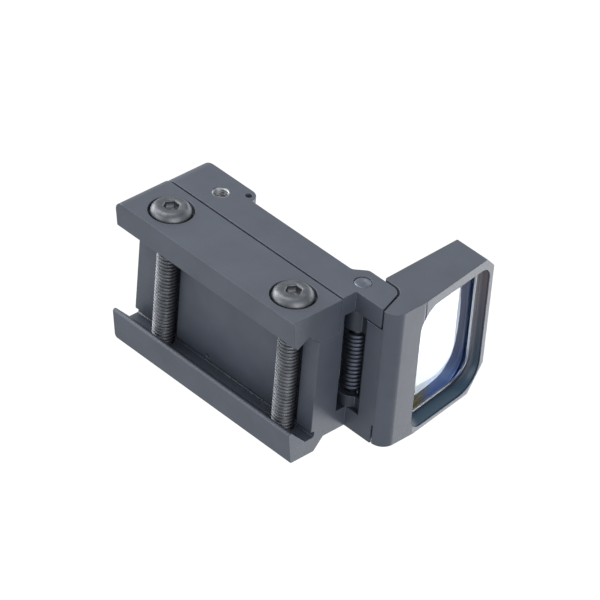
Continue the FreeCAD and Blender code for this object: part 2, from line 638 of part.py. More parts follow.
def make_emitter_window():
    half = BEAM_HALF_WIDTH - 0.05
    return box(MIDDLE_X - half, MIDDLE_X + half, -9.35, -8.85, DECK_Z + 0.08, 13.05)


def make_adjuster(start, axis, length):
    """Headless screw with a hexagon socket, sunk below the surface."""
    screw = Part.makeCylinder(ADJUSTER_RADIUS, length, start, axis * -1)
    return screw.cut(hexagon(start - axis * 1.2, axis, 1.5, 3))


def make_latch():
    """Catch that slides forward out of the rear block over the folded frame."""
    rear_y = BLOCK_FRONT_Y + 0.3
    front_y = BLOCK_FRONT_Y + 3.0
    plate = box(LATCH_LEFT_X, LATCH_RIGHT_X, -11.9, front_y, DECK_Z + 0.06, DECK_Z + LATCH_THICKNESS)
    ridge = prism(across_x, LATCH_LEFT_X, LATCH_RIGHT_X, [
        (rear_y, DECK_Z + LATCH_THICKNESS - 0.1, 0), (front_y, DECK_Z + 0.06, 0.2),
        (front_y, LATCH_RIDGE_Z, 0.6), (rear_y, LATCH_RIDGE_Z, 0.6)])
    tongue = box(LATCH_LEFT_X + 0.3, LATCH_RIGHT_X - 0.3, front_y - 0.1, front_y + 1.1, 13.0, 13.8)
    latch = plate.fuse(ridge).fuse(tongue)
    for i in range(3):
        y = rear_y + 0.5 + 0.8 * i
        latch = latch.cut(box(LATCH_LEFT_X - 1, LATCH_RIGHT_X + 1, y, y + 0.3, LATCH_RIDGE_Z - 0.2, FAR))
    return latch.removeSplitter()


def make_all():
    rear, front = screw_positions()
    coil, leg_up, leg_down = make_hinge_spring()
    return {
        "housing": make_housing(),
        "rear_cover": make_rear_cover(),
        "cover_screws": make_cover_screws(),
        "brightness_down_button": make_button(-1),
        "brightness_up_button": make_button(1),
        "circuit_board": make_circuit_board(),
        "button_switches": make_button_switches(),
        "clamp_plate": make_clamp_plate(),
        "clamp_screw_rear": make_clamp_screw(rear),
        "clamp_screw_front": make_clamp_screw(front),
        "hinge_pin": make_hinge_pin(),
        "hinge_spring": coil.fuse(leg_up).fuse(leg_down),
        "lens_frame": make_lens_frame(),
        "lens": make_lens(),
        "lens_bezel": make_lens_bezel(),
        "battery_tray": make_battery_tray(),
        "battery": make_battery(),
        "tray_screw": make_tray_screw(),
        "battery_contacts": make_battery_contacts(),
        "windage_carriage": make_windage_carriage(),
        "emitter_holder": make_emitter_holder(),
        "emitter": make_emitter(),
        "emitter_window": make_emitter_window(),
        "windage_screw": make_adjuster(Vector(SIDE_RIGHT - 2.2, ADJUSTER_Y, WINDAGE_Z), Vector(1, 0, 0), 5.3),
        "elevation_screw": make_adjuster(Vector(MIDDLE_X, ADJUSTER_Y, BLOCK_TOP_Z - 0.2), Vector(0, 0, 1), 2.6),
        "latch": make_latch(),
    }


def main():
    os.makedirs("parts", exist_ok=True)
    for name, shape in make_all().items():
        solids = len(shape.Solids)
        print(name, "solids", solids, "valid", shape.isValid(), "volume", round(shape.Volume, 2))
        shape.exportStep("parts/" + name + ".step")


main()
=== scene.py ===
import json
import math

import bmesh
import bpy
from mathutils import Matrix, Vector
from mathutils.geometry import convex_hull_2d


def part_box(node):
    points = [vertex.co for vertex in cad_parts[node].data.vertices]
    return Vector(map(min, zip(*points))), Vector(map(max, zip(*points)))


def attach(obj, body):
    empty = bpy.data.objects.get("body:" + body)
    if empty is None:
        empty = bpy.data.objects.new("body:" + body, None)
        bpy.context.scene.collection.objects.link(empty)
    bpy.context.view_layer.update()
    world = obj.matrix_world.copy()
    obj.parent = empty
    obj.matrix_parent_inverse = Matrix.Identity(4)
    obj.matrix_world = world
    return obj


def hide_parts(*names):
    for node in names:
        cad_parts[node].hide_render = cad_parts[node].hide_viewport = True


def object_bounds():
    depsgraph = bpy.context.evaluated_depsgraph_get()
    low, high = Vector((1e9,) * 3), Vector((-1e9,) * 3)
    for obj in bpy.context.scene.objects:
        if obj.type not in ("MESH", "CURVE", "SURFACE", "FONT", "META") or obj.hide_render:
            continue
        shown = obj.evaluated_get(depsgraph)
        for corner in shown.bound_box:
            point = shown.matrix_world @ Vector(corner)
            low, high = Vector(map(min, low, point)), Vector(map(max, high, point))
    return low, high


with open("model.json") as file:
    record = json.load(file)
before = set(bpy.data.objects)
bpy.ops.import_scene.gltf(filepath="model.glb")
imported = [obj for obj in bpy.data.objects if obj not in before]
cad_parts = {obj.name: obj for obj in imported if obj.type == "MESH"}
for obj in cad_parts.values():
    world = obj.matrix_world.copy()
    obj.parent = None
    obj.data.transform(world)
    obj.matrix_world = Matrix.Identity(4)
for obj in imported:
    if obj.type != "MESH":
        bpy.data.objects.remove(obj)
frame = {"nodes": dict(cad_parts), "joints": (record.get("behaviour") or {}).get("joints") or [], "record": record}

# Folding reflex sight on a rail clamp. Every mesh is in metres in the frame of the CAD model:
# +X is the clamp side, +Y the way the lens faces, +Z away from the rail.

CAD_LOW, CAD_HIGH = [Vector(corner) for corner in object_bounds()]
MM = 0.001
NODES = frame["nodes"]
JOINTS = {joint["name"]: joint for joint in frame["joints"]}
SLOT_OF = {part["node"]: part["material_slot"] for part in frame["record"]["subparts"]}
BODIES = frame["record"]["behaviour"]["bodies"]
BODY_OF = {node: body for body, nodes in BODIES.items() for node in nodes}
X, Y, Z = Vector((1, 0, 0)), Vector((0, 1, 0)), Vector((0, 0, 1))

# Camera
CAMERA_AIM = Vector((0.77, 3.28, 13.28)) * MM
CAMERA_AZIMUTH = math.radians(132.92)
CAMERA_ELEVATION = math.radians(-35.50)
CAMERA_ROLL = math.radians(63.09)
CAMERA_DISTANCE = 776.3 * MM
CAMERA_LENS = 274.9
CAMERA_SENSOR = 36.0

# Clean-up and rounding of the CAD meshes
MERGE_DISTANCE = 0.001 * MM
FLAT_ANGLE = math.radians(0.3)
SHARP_ANGLE = math.radians(32)
ROUNDING_STEPS = 2
AREA_WEIGHT = 90

# Round shapes: points in a ring and in a wire's section, and steps along a thread, a dome and a coil
RING_COUNT = 60
WIRE_COUNT = 14
THREAD_STEPS = 9
DOME_STEPS = 9
COIL_STEPS = 36
LEG_STEPS = 8

# Threads: depth and length of the fade-in as shares of the pitch; a CREST over 1 flattens the crests
THREAD_DEPTH = 0.61
THREAD_FADE = 0.9
CREST = 1.25

# Lens frame: the window is square to a face that leans back from the hinge
HINGE = Vector(JOINTS["lens_fold"]["pos_m"])
LEAN = Matrix.Rotation(math.radians(8.1), 3, "X")
OUTLINE_COUNT = 200
WINDOW_MARGIN = 0.5 * MM
LENS_RADIUS = 110.0 * MM
LENS_THICKNESS = 1.25 * MM
LENS_RINGS = 14
POLE_SHARE = 0.004
BEZEL_WIDTH = 1.0 * MM
BEZEL_ROUNDING = 0.09 * MM

# Sloping wall on the far side of the window, in front of the lens
FAR_SIDE_STEP = 1.2 * MM
FAR_SIDE_REACH = 6.0 * MM
WALL_DEPTH = 1.6 * MM
WALL_INSET = 0.02 * MM

# Clamp screws
HEAD_HEIGHT = 2.2 * MM
HEAD_INSET = 0.12 * MM
HEAD_RIM = 0.4 * MM
HEAD_ROUNDING = 0.08 * MM
DOME_FLAT = 0.62
SHANK_RADIUS = 2.0 * MM
CLAMP_PITCH = 0.7 * MM
SOCKET_RADIUS = 1.44 * MM
SOCKET_DEPTH = 1.3 * MM

# Rear cover screws
COVER_HEAD_DEPTH = 0.63 * MM
COVER_SHANK_RADIUS = 0.8 * MM
COVER_PITCH = 0.35 * MM
COVER_SOCKET_RADIUS = 0.69 * MM
COVER_SOCKET_DEPTH = 0.4 * MM

# Adjuster screws
ADJUSTER_PITCH = 0.5 * MM
ADJUSTER_CHAMFER = 0.12 * MM
ADJUSTER_STEP = 0.3 * MM
ADJUSTER_SOCKET_RADIUS = 0.87 * MM
ADJUSTER_SOCKET_DEPTH = 1.1 * MM

# Tapped hole in the side of the rear block, for the windage screw
TAPPED_RADIUS = 1.55 * MM
TAPPED_DEPTH = 2.1 * MM
TAPPED_MOUTH = 0.12 * MM
TAPPED_SLEEVE = 0.02 * MM

# Hinge spring
WIRE_RADIUS = 0.36 * MM
COIL_RADIUS = 2.05 * MM
COIL_TURNS = 14.5
SHORT_LEG = [drop * MM for drop in (1.2, 0.9, 0.6, 0.3)]

# Brightness buttons and the marks on them
BUTTON_FLANGE = 0.35 * MM
BUTTON_CROWN = 0.12 * MM
MARK_LENGTH = 1.0 * MM
MARK_WIDTH = 0.2 * MM
MARK_SINK = 0.01 * MM
MARK_RISE = 0.2 * MM

# Parts on the circuit board; the lower row leaves its middle clear
BOARD_THICKNESS = 0.8 * MM
BOARD_ROW_MARGIN = 0.9 * MM
BOARD_PART_COUNT = 8
BOARD_PART_START = 1.2
BOARD_PART_SPACING = 1.85
BOARD_PART_HALF = Vector((0.5, 0, 0.26)) * MM
BOARD_PART_HEIGHT = 0.35 * MM
BOARD_PART_SINK = 0.02 * MM
BOARD_CLEAR_HALF = 2.4 * MM
BOARD_CLEAR_BELOW = 3.5 * MM

# Finger ribs on the battery tray: heights in millimetres, depths from the cap's outer face and
# ends from the cell's middle
RIB_COUNT = 4
RIB_START = 6.85
RIB_SPACING = 0.75
RIB_HALF_WIDTH = 0.13 * MM
RIB_DEPTHS = (0.12 * MM, 0.65 * MM)
RIB_ENDS = (10.3 * MM, 8.3 * MM)

# Rounding of the small blocks: marks, board parts and ribs
SMALL_ROUNDING = 0.05 * MM

# The recess between the hinge ears, from the hinge, whose faces get painted shade, and the rear end of the housing
RECESS_LOW = Vector((-10.2, -4.5, -6.5)) * MM
RECESS_HIGH = Vector((10.2, 5.5, 3.2)) * MM
REAR_END = CAD_LOW.y + 3.6 * MM

# A face looks along a direction when its normal's part on it is over FACING, and across it under ACROSS
FACING = 0.99
ACROSS = 0.02

# Room light as the surfaces get it, and as the camera sees it
WORLD_LIGHT = 0.70
WORLD_SEEN = 1.05
FLOOR_HALF = 2.5

# For each axis: its own direction and the two directions across it
PLANES = {"X": (X, Y, Z), "Y": (Y, Z, X), "Z": (Z, X, Y)}

# Widths of the rounded edges, of the outer casings and of the smaller pieces
BODY_EDGES = {
    "housing": 0.10 * MM,
    "clamp_plate": 0.12 * MM,
    "latch": 0.08 * MM,
    "rear_cover": 0.08 * MM,
}
SMALL_EDGES = {
    "battery_tray": 0.08 * MM,
    "tray_screw": 0.04 * MM,
    "battery_contacts": 0.04 * MM,
    "circuit_board": 0.04 * MM,
    "button_switches": 0.06 * MM,
    "windage_carriage": 0.08 * MM,
    "emitter_holder": 0.08 * MM,
    "emitter": 0.03 * MM,
    "emitter_window": 0.05 * MM,
}
LENS_FRAME_EDGE = 0.10 * MM


# Mesh helpers

def new_object(name, mesh, material):
    """An object with one material, linked into the scene."""
    made = bpy.data.objects.new(name, mesh)
    bpy.context.scene.collection.objects.link(made)
    mesh.materials.append(material)
    return made


def smooth(mesh):
    """Shades every face of a mesh smooth."""
    mesh.polygons.foreach_set("use_smooth", [True] * len(mesh.polygons))


def finished(piece, node=None, body=None):
    """Puts a piece on its body; with node, it stands for that CAD node."""
    if node:
        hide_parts(node)
    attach(piece, body or BODY_OF[node])


def rounded_copy(node, width, edge_material=None, inner=(), split=None):
    """A CAD node with its sharp edges rounded over; the rounded strips get edge_material.
    inner lists (test, material) pairs for faces that get a material of their own: painted light and shade on the
    window wall and painted shade in the hinge recess. split picks the faces with openings in them that are cut
    into triangles before rounding."""
    shape = bmesh.new()
    shape.from_mesh(NODES[node].data)
    bmesh.ops.remove_doubles(shape, verts=shape.verts, dist=MERGE_DISTANCE)
    bmesh.ops.dissolve_limit(shape, angle_limit=FLAT_ANGLE, verts=shape.verts, edges=shape.edges)
    bmesh.ops.recalc_face_normals(shape, faces=shape.faces)
    if split:
        bmesh.ops.triangulate(shape, faces=[face for face in shape.faces if split(face)])
    for face in shape.faces:
        face.material_index = next((i + 2 for i, (test, _) in enumerate(inner) if test(face)), 0)
    mesh = bpy.data.meshes.new(node + "_finished")
    shape.to_mesh(mesh)
    shape.free()
    smooth(mesh)
    piece = new_object(node + "_finished", mesh, MATERIALS[SLOT_OF[node]])
    mesh.materials.append(edge_material or MATERIALS[SLOT_OF[node]])
    for _, material in inner:
        mesh.materials.append(material)
    round_edges(piece, width)
    finished(piece, node)


def round_edges(piece, width):
    """Bevels the sharp edges of a piece for good, and keeps its flat faces looking flat."""
    bevel = piece.modifiers.new("edges", "BEVEL")
    bevel.width = width
    bevel.segments = ROUNDING_STEPS
    bevel.limit_method = "ANGLE"
    bevel.angle_limit = SHARP_ANGLE
    bevel.use_clamp_overlap = False
    # the rounded strips take the second material; on the casings that is edge wear with a painted highlight
    bevel.material = 1
    normals = piece.modifiers.new("normals", "WEIGHTED_NORMAL")
    normals.weight = AREA_WEIGHT
    bpy.context.view_layer.update()
    evaluated = piece.evaluated_get(bpy.context.evaluated_depsgraph_get())
    applied = bpy.data.meshes.new_from_object(evaluated)
    piece.modifiers.clear()
    piece.data = applied


def built(name, shape, material):
    """Turns a finished bmesh into an object with smooth faces."""
    bmesh.ops.recalc_face_normals(shape, faces=shape.faces)
    mesh = bpy.data.meshes.new(name)
    shape.to_mesh(mesh)
    shape.free()
    smooth(mesh)
    return new_object(name, mesh, material)


def loft(name, groups, material, closed=False):
    """Surfaces through groups of rings; all the rings of a group have the same number of points."""
    shape = bmesh.new()
    for rings in groups:
        rows = [[shape.verts.new(point) for point in points] for points in rings]
        pairs = list(zip(rows, rows[1:]))
        if closed:
            pairs.append((rows[-1], rows[0]))
        for low, high in pairs:
            for i in range(len(low)):
                j = (i + 1) % len(low)
                shape.faces.new((low[i], low[j], high[j], high[i]))
        if not closed:
            shape.faces.new(rows[0])
            shape.faces.new(rows[-1])
    return built(name, shape, material)


def rounded_blocks(name, boxes, material):
    """Small blocks with rounded edges, each given by its low and high corner."""
    shape = bmesh.new()
    for low, high in boxes:
        low, high = Vector(low), Vector(high)
        place = Matrix.Translation((low + high) / 2) @ Matrix.Diagonal(high - low).to_4x4()
        bmesh.ops.create_cube(shape, size=1.0, matrix=place)
    bmesh.ops.bevel(
        shape, geom=list(shape.edges), offset=SMALL_ROUNDING, segments=ROUNDING_STEPS,
        affect="EDGES", profile=0.5)
    return built(name, shape, material)


def ring(axis, centre, position, radius):
    """Ring round an axis; radius is a number or a function of the angle."""
    along, side, other = PLANES[axis]
    middle = centre + along * (position - centre.dot(along))
    points = []
    for i in range(RING_COUNT):
        angle = 2 * math.pi * i / RING_COUNT
        reach = radius(angle) if callable(radius) else radius
        points.append(middle + side * (reach * math.cos(angle)) + other * (reach * math.sin(angle)))
    return points


def turned(axis, centre, profile):
    """Rings of a turned shape, from (position, radius) pairs."""
    return [ring(axis, centre, position, radius) for position, radius in profile]


def hexagonal(radius):
    """Radius of a hexagon as a function of the angle."""
    return lambda angle: radius * math.cos(math.pi / 6) / math.cos(angle % (math.pi / 3) - math.pi / 6)


def thread_radius(position, angle, radius, pitch, lead):
    """Radius of a thread whose ridges fade in with lead, from 0 to 1."""
    phase = (position / pitch + angle / (2 * math.pi)) % 1.0
    ridge = min(1.0, CREST * (1 - abs(2 * phase - 1)))
    return radius - THREAD_DEPTH * pitch * (1 - ridge * lead)


def thread_rings(axis, centre, start, end, radius, pitch):
    """Rings of a thread of the given outer radius, which fades in from its start."""
    rings = []
    steps = math.ceil(abs(end - start) / pitch * THREAD_STEPS)
    for step in range(steps + 1):
        here = start + (end - start) * step / steps
        lead = min(1.0, abs(here - start) / (THREAD_FADE * pitch))
        rings.append(ring(axis, centre, here, lambda angle: thread_radius(here, angle, radius, pitch, lead)))
    return rings


def socket_rings(axis, centre, face, inward, radius, depth):
    """Hexagon socket sunk into a screw's face; inward is +1 or -1 along the axis."""
    key = hexagonal(radius)
    lip = 0.08 * radius
    return turned(axis, centre, [
        (face, 1.14 * radius), (face + inward * lip, key), (face + inward * 2 * lip, key),
        (face + inward * depth, key), (face + inward * (depth + 2 * lip), 0.2 * radius)])


def swept(path, radius, first_normal):
    """Rings of a round wire along a path."""
    rings = []
    normal = first_normal
    for i, point in enumerate(path):
        tangent = (path[min(i + 1, len(path) - 1)] - path[max(i - 1, 0)]).normalized()
        normal = (normal - tangent * normal.dot(tangent)).normalized()
        other = tangent.cross(normal)
        section = []
        for j in range(WIRE_COUNT):
            angle = 2 * math.pi * j / WIRE_COUNT
            section.append(point + normal * (radius * math.cos(angle)) + other * (radius * math.sin(angle)))
        rings.append(section)
    return rings


def to_window(point):
    """A point as (x, depth, height) seen square to the window."""
    return LEAN.transposed() @ (point - HINGE)


def from_window(x, depth, height):
    """The point at (x, depth, height) seen square to the window."""
    return HINGE + LEAN @ Vector((x, depth, height))


def window_places(node):
    """The corners of a CAD node's mesh seen square to the window."""
    return [to_window(vertex.co) for vertex in NODES[node].data.vertices]


def window_outline(node):
    """Outline of a CAD node seen square to the window, as evenly spaced (x, height) points."""
    flat = [(place.x, place.z) for place in window_places(node)]
    corners = [Vector(flat[i]) for i in convex_hull_2d(flat)]
    sides = list(zip(corners, corners[1:] + corners[:1]))
    spacing = sum((end - start).length for start, end in sides) / OUTLINE_COUNT
    points = []
    ahead = 0.0
    for start, end in sides:
        length = (end - start).length
        while ahead < length and len(points) < OUTLINE_COUNT:
            points.append(start.lerp(end, ahead / length))
            ahead += spacing
        ahead -= length
    return points


def inset_outline(points, inset):
    """The outline moved inwards."""
    moved = []
    for i, point in enumerate(points):
        along = (points[(i + 1) % len(points)] - points[i - 1]).normalized()
        moved.append(point + Vector((-along.y, along.x)) * inset)
    return moved


# Shader helpers

def shader_node(tree, kind, values=None, **settings):
    """A node of a shader tree. A value that is a socket is linked, any other is set."""
    made = tree.nodes.new("ShaderNode" + kind)
    for key, value in settings.items():
        setattr(made, key, value)
    for key, value in (values or {}).items():
        if isinstance(value, bpy.types.NodeSocket):
            tree.links.new(value, made.inputs[key])
        else:
            made.inputs[key].default_value = value
    return made


def new_tree(name):
    """A new material and its empty node tree."""
    material = bpy.data.materials.new(name)
    material.use_nodes = True
    material.node_tree.nodes.clear()
    return material, material.node_tree


def millimetres(tree):
    """Object coordinates in millimetres."""
    place = shader_node(tree, "TexCoord").outputs["Object"]
    scaled = shader_node(tree, "VectorMath", {0: place, 1: (1000, 1000, 1000)}, operation="MULTIPLY")
    return scaled.outputs[0]


def noise(tree, place, scale, detail=3.0, roughness=0.55):
    """Noise whose scale is in features per unit of place."""
    values = {"Vector": place, "Scale": scale, "Detail": detail, "Roughness": roughness}
    return shader_node(tree, "TexNoise", values).outputs["Fac"]


def spread(tree, value, low, high, to_low, to_high):
    """Maps low..high of a value to to_low..to_high, and no further."""
    values = {"Value": value, "From Min": low, "From Max": high, "To Min": to_low, "To Max": to_high}
    return shader_node(tree, "MapRange", values).outputs["Result"]


def varied(tree, value, to_low, to_high):
    """Spreads the middle range of a noise over to_low..to_high."""
    return spread(tree, value, 0.3, 0.7, to_low, to_high)


def blend_colours(tree, factor, first, second):
    """Colour mix; factor and both colours may be sockets or plain values."""
    mix = shader_node(tree, "Mix", data_type="RGBA")
    for key, value in ((0, factor), (6, first), (7, second)):
        if isinstance(value, bpy.types.NodeSocket):
            tree.links.new(value, mix.inputs[key])
        else:
            mix.inputs[key].default_value = value
    return mix.outputs[2]


def bump(tree, height, distance):
    """Surface normal of a relief, distance metres deep."""
    values = {"Height": height, "Distance": distance, "Strength": 1.0}
    return shader_node(tree, "Bump", values).outputs["Normal"]


def show(tree, shader):
    """Makes a shader the material's surface."""
    output = shader_node(tree, "OutputMaterial")
    tree.links.new(shader.outputs[0], output.inputs["Surface"])


def surface(tree, values):
    """A principled shader as the material's surface."""
    show(tree, shader_node(tree, "BsdfPrincipled", values))


def scaled_colour(tree, colour, factor):
    """A colour made darker or lighter by a factor."""
    values = {0: colour[:3], "Scale": factor}
    return shader_node(tree, "VectorMath", values, operation="SCALE").outputs[0]


def grey(value, blue=0.0):
    """A grey that leans towards blue."""
    return (value, value * (1 + 0.3 * blue), value * (1 + blue), 1.0)


# Materials, with their gradients placed in millimetres in the frame of the CAD model

def anodised(name, dark, light, roughness, wear):
    """Bead-blasted, hard-anodised aluminium: fine grain, faint clouding and a few scuffs."""
    material, tree = new_tree(name)
    place = millimetres(tree)
    grain = noise(tree, place, 7.0, 4.0, 0.7)
    clouds = noise(tree, place, 0.16, 3.0)
    scuffs = spread(tree, noise(tree, place, 1.7, 6.0, 0.75), 0.62, 0.72, 0.0, wear)
    base = blend_colours(tree, varied(tree, clouds, 0.0, 1.0), dark, light)
    worn = blend_colours(tree, scuffs, base, grey(0.20, 0.1))
    gloss = varied(tree, grain, roughness - 0.05, roughness + 0.07)
    surface(tree, {
        "Base Color": worn, "Roughness": gloss, "Specular IOR Level": 0.6,
        "Normal": bump(tree, grain, 0.006 * MM)})
    return material


def window_painted_light():
    """Smooth anodising inside the window, coloured with painted light and shade: teal on the far side,
    dark grey towards the clamp side and paler towards the lens."""
    teal, dark, pale = (0.014, 0.040, 0.068, 1), (0.080, 0.070, 0.082, 1), (0.22, 0.215, 0.26, 1)
    material, tree = new_tree("window_painted_light")
    place = millimetres(tree)
    parts = shader_node(tree, "SeparateXYZ", {0: place})
    grain = noise(tree, place, 9.0, 3.0)
    across = spread(tree, parts.outputs["X"], -9.0, 9.0, 0.0, 1.0)
    behind = spread(tree, parts.outputs["Y"], 27.0, 25.5, 0.0, 1.0)
    # painted light and shade: the wall's colour changes across the window and towards the lens
    base = blend_colours(tree, behind, blend_colours(tree, across, teal, dark), pale)
    surface(tree, {
        "Base Color": base, "Roughness": varied(tree, grain, 0.33, 0.42),
        "Specular IOR Level": 0.4, "Normal": bump(tree, grain, 0.003 * MM)})
    return material


def ring_metal():
    """Bare satin ring, darkened by painted shade on its far side."""
    bare, brighter, far_shade = (0.80, 0.80, 0.77, 1), (0.95, 0.95, 0.92, 1), (0.16, 0.17, 0.20, 1)
    material, tree = new_tree("bright_ring")
    place = millimetres(tree)
    across = shader_node(tree, "SeparateXYZ", {0: place}).outputs["X"]
    grain = noise(tree, place, 6.0, 4.0, 0.6)
    # painted shade: the ring darkens towards its far side
    far_side_shade = spread(tree, across, -4.0, -9.0, 0.0, 1.0)
    tone = blend_colours(tree, grain, bare, brighter)
    surface(tree, {
        "Base Color": blend_colours(tree, far_side_shade, tone, far_shade), "Metallic": 1.0,
        "Roughness": varied(tree, grain, 0.26, 0.36), "Normal": bump(tree, grain, 0.003 * MM)})
    return material


def steel(name, colour, roughness, grain_scale, grain_depth):
    """Metal with a fine grain and uneven tone."""
    material, tree = new_tree(name)
    place = millimetres(tree)
    grain = noise(tree, place, grain_scale, 4.0, 0.6)
    tone = varied(tree, noise(tree, place, 0.8, 3.0), 0.8, 1.25)
    gloss = varied(tree, grain, roughness - 0.05, roughness + 0.08)
    surface(tree, {
        "Base Color": scaled_colour(tree, colour, tone), "Metallic": 1.0, "Roughness": gloss,
        "Normal": bump(tree, grain, grain_depth)})
    return material


def coated_glass():
    """Lens glass: clear, with the coating's blue tint growing towards its upper and far edges and
    a yellow tint in its low far corner. The coating leaves only a weak gleam on its face."""
    clear, blue, yellow = (0.95, 0.955, 0.98, 1), (0.55, 0.70, 0.97, 1), (0.72, 0.66, 0.42, 1)
    material, tree = new_tree("coated_glass")
    place = millimetres(tree)
    parts = shader_node(tree, "SeparateXYZ", {0: place})
    upper = spread(tree, parts.outputs["Z"], 28.0, 33.0, 0.0, 0.6)
    far = spread(tree, parts.outputs["X"], 1.0, -9.5, 0.0, 1.0)
    low_corner = spread(tree, parts.outputs["Z"], 22.5, 19.0, 0.0, 1.0)
    cooling = shader_node(tree, "Math", {0: upper, 1: far}, operation="MAXIMUM").outputs[0]
    warming = shader_node(tree, "Math", {0: low_corner, 1: far}, operation="MULTIPLY").outputs[0]
    colour = blend_colours(tree, warming, blend_colours(tree, cooling, clear, blue), yellow)
    haze = varied(tree, noise(tree, place, 0.4), 0.0, 0.03)
    gleam = shader_node(tree, "BsdfGlossy", {"Color": (0.75, 0.85, 1.0, 1), "Roughness": haze})
    through = shader_node(tree, "BsdfRefraction", {"Color": colour, "Roughness": 0.0, "IOR": 1.5})
    facing = shader_node(tree, "Fresnel", {"IOR": 1.25}).outputs[0]
    show(tree, shader_node(tree, "MixShader", {0: facing, 1: through.outputs[0], 2: gleam.outputs[0]}))
    return material


def clear_glass():
    """Plain glass of the emitter's window, with a faint haze."""
    material, tree = new_tree("clear_glass")
    haze = varied(tree, noise(tree, millimetres(tree), 2.0), 0.01, 0.04)
    surface(tree, {"Base Color": (0.95, 0.97, 0.97, 1), "Transmission Weight": 1.0, "Roughness": haze})
    return material


def moulded(name, colour, roughness, grain_scale, grain_depth):
    """Moulded polymer or rubber with a fine spark-eroded grain."""
    material, tree = new_tree(name)
    place = millimetres(tree)
    grain = shader_node(tree, "TexVoronoi", {"Vector": place, "Scale": grain_scale}).outputs["Distance"]
    tone = varied(tree, noise(tree, place, 0.4), 0.85, 1.2)
    gloss = varied(tree, noise(tree, place, 3.0), roughness - 0.06, roughness + 0.06)
    surface(tree, {
        "Base Color": scaled_colour(tree, colour, tone), "Roughness": gloss,
        "Normal": bump(tree, grain, grain_depth)})
    return material


def solder_mask():
    """Green board with lighter copper runs under the mask."""
    material, tree = new_tree("board")
    place = millimetres(tree)
    runs = shader_node(tree, "TexBrick", {"Vector": place, "Scale": 1.2}).outputs["Fac"]
    base = blend_colours(tree, runs, (0.01, 0.09, 0.035, 1), (0.03, 0.2, 0.07, 1))
    surface(tree, {
        "Base Color": base, "Roughness": varied(tree, noise(tree, place, 4.0), 0.25, 0.4),
        "Normal": bump(tree, runs, 0.02 * MM)})
    return material


def make_materials():
    """All the materials by name; most names are slots of the record."""
    return {
        "anodised_body": anodised("anodised_body", grey(0.047, 0.55), grey(0.058, 0.55), 0.45, 0.10),
        # edge wear and a painted highlight: the rounded edge strips are lighter and more scuffed than the faces
        "edge_wear_and_highlight": anodised("edge_wear_and_highlight", grey(0.050, 0.5), grey(0.068, 0.45), 0.42, 0.55),
        # painted shade: darker, bluer anodising for the faces in the hinge recess
        "recess": anodised("recess", grey(0.016, 0.9), grey(0.022, 0.9), 0.5, 0.05),
        "window_painted_light": window_painted_light(),
        "black_screws": steel("black_screws", grey(0.135, 0.12), 0.44, 5.0, 0.004 * MM),
        "bare_thread": steel("bare_thread", grey(0.36, 0.05), 0.34, 5.0, 0.004 * MM),
        "dark_steel": steel("dark_steel", grey(0.12, 0.4), 0.46, 4.0, 0.004 * MM),
        "coated_glass": coated_glass(),
        "clear_glass": clear_glass(),
        "pin_steel": steel("pin_steel", grey(0.16, 0.3), 0.42, 4.0, 0.004 * MM),
        "bright_ring": ring_metal(),
        "black_plastic": moulded("black_plastic", grey(0.03, 0.1), 0.48, 5.0, 0.01 * MM),
        "brass_parts": steel("brass_parts", (0.72, 0.52, 0.24), 0.28, 5.0, 0.003 * MM),
        "cell_steel": steel("cell_steel", (0.72, 0.72, 0.73), 0.2, 3.0, 0.002 * MM),
        "board": solder_mask(),
        "emitter_red": moulded("emitter_red", (0.6, 0.02, 0.02), 0.2, 8.0, 0.002 * MM),
        "button_rubber": moulded("button_rubber", grey(0.035, 0.08), 0.62, 7.0, 0.012 * MM),
    }


# Pieces

def make_clamp_screws():
    """Button-head screws with a full thread and a hexagon socket."""
    for node in ("clamp_screw_rear", "clamp_screw_front"):
        low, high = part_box(node)
        centre = (low + high) / 2
        head = (high.y - low.y) / 2 - HEAD_INSET
        seat = high.x - HEAD_HEIGHT
        rim = seat + HEAD_RIM
        shoulder = DOME_FLAT * head
        rings = thread_rings("X", centre, low.x, seat, SHANK_RADIUS, CLAMP_PITCH)
        rings += turned("X", centre, [
            (seat, head - HEAD_ROUNDING), (seat + HEAD_ROUNDING, head), (rim, head)])
        for i in range(1, DOME_STEPS + 1):
            lift = math.pi / 2 * i / DOME_STEPS
            radius = shoulder + (head - shoulder) * math.cos(lift)
            rings.append(ring("X", centre, rim + (high.x - rim) * math.sin(lift), radius))
        rings += socket_rings("X", centre, high.x, -1, SOCKET_RADIUS, SOCKET_DEPTH)
        finished(loft(node + "_threaded", [rings], MATERIALS["black_screws"]), node)


def make_cover_screws():
    """Two flat-headed screws that hold the rear cover."""
    low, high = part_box("cover_screws")
    head = (high.z - low.z) / 2
    under = low.y + COVER_HEAD_DEPTH
    groups = []
    for x in (low.x + head, high.x - head):
        centre = Vector((x, 0, (low.z + high.z) / 2))
        rings = thread_rings("Y", centre, high.y, under, COVER_SHANK_RADIUS, COVER_PITCH)
        rings += turned("Y", centre, [
            (under, head - 0.05 * MM), (under - 0.05 * MM, head), (low.y + 0.12 * MM, head),
            (low.y + 0.03 * MM, head - 0.06 * MM), (low.y, head - 0.18 * MM)])
        rings += socket_rings("Y", centre, low.y, 1, COVER_SOCKET_RADIUS, COVER_SOCKET_DEPTH)
        groups.append(rings)
    finished(loft("cover_screws_threaded", groups, MATERIALS["black_screws"]), "cover_screws")


def make_adjusters():
    """Headless adjuster screws, sunk in the side and the top of the rear block."""
    for node, axis in (("windage_screw", "X"), ("elevation_screw", "Z")):
        low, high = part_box(node)
        centre = (low + high) / 2
        along = PLANES[axis][0]
        tip, face = low.dot(along), high.dot(along)
        radius = (high.y - low.y) / 2
        rings = thread_rings(axis, centre, tip, face - ADJUSTER_CHAMFER, radius, ADJUSTER_PITCH)
        rings.append(ring(axis, centre, face, radius - ADJUSTER_STEP))
        rings += socket_rings(axis, centre, face, -1, ADJUSTER_SOCKET_RADIUS, ADJUSTER_SOCKET_DEPTH)
        finished(loft(node + "_threaded", [rings], MATERIALS["black_screws"]), node)


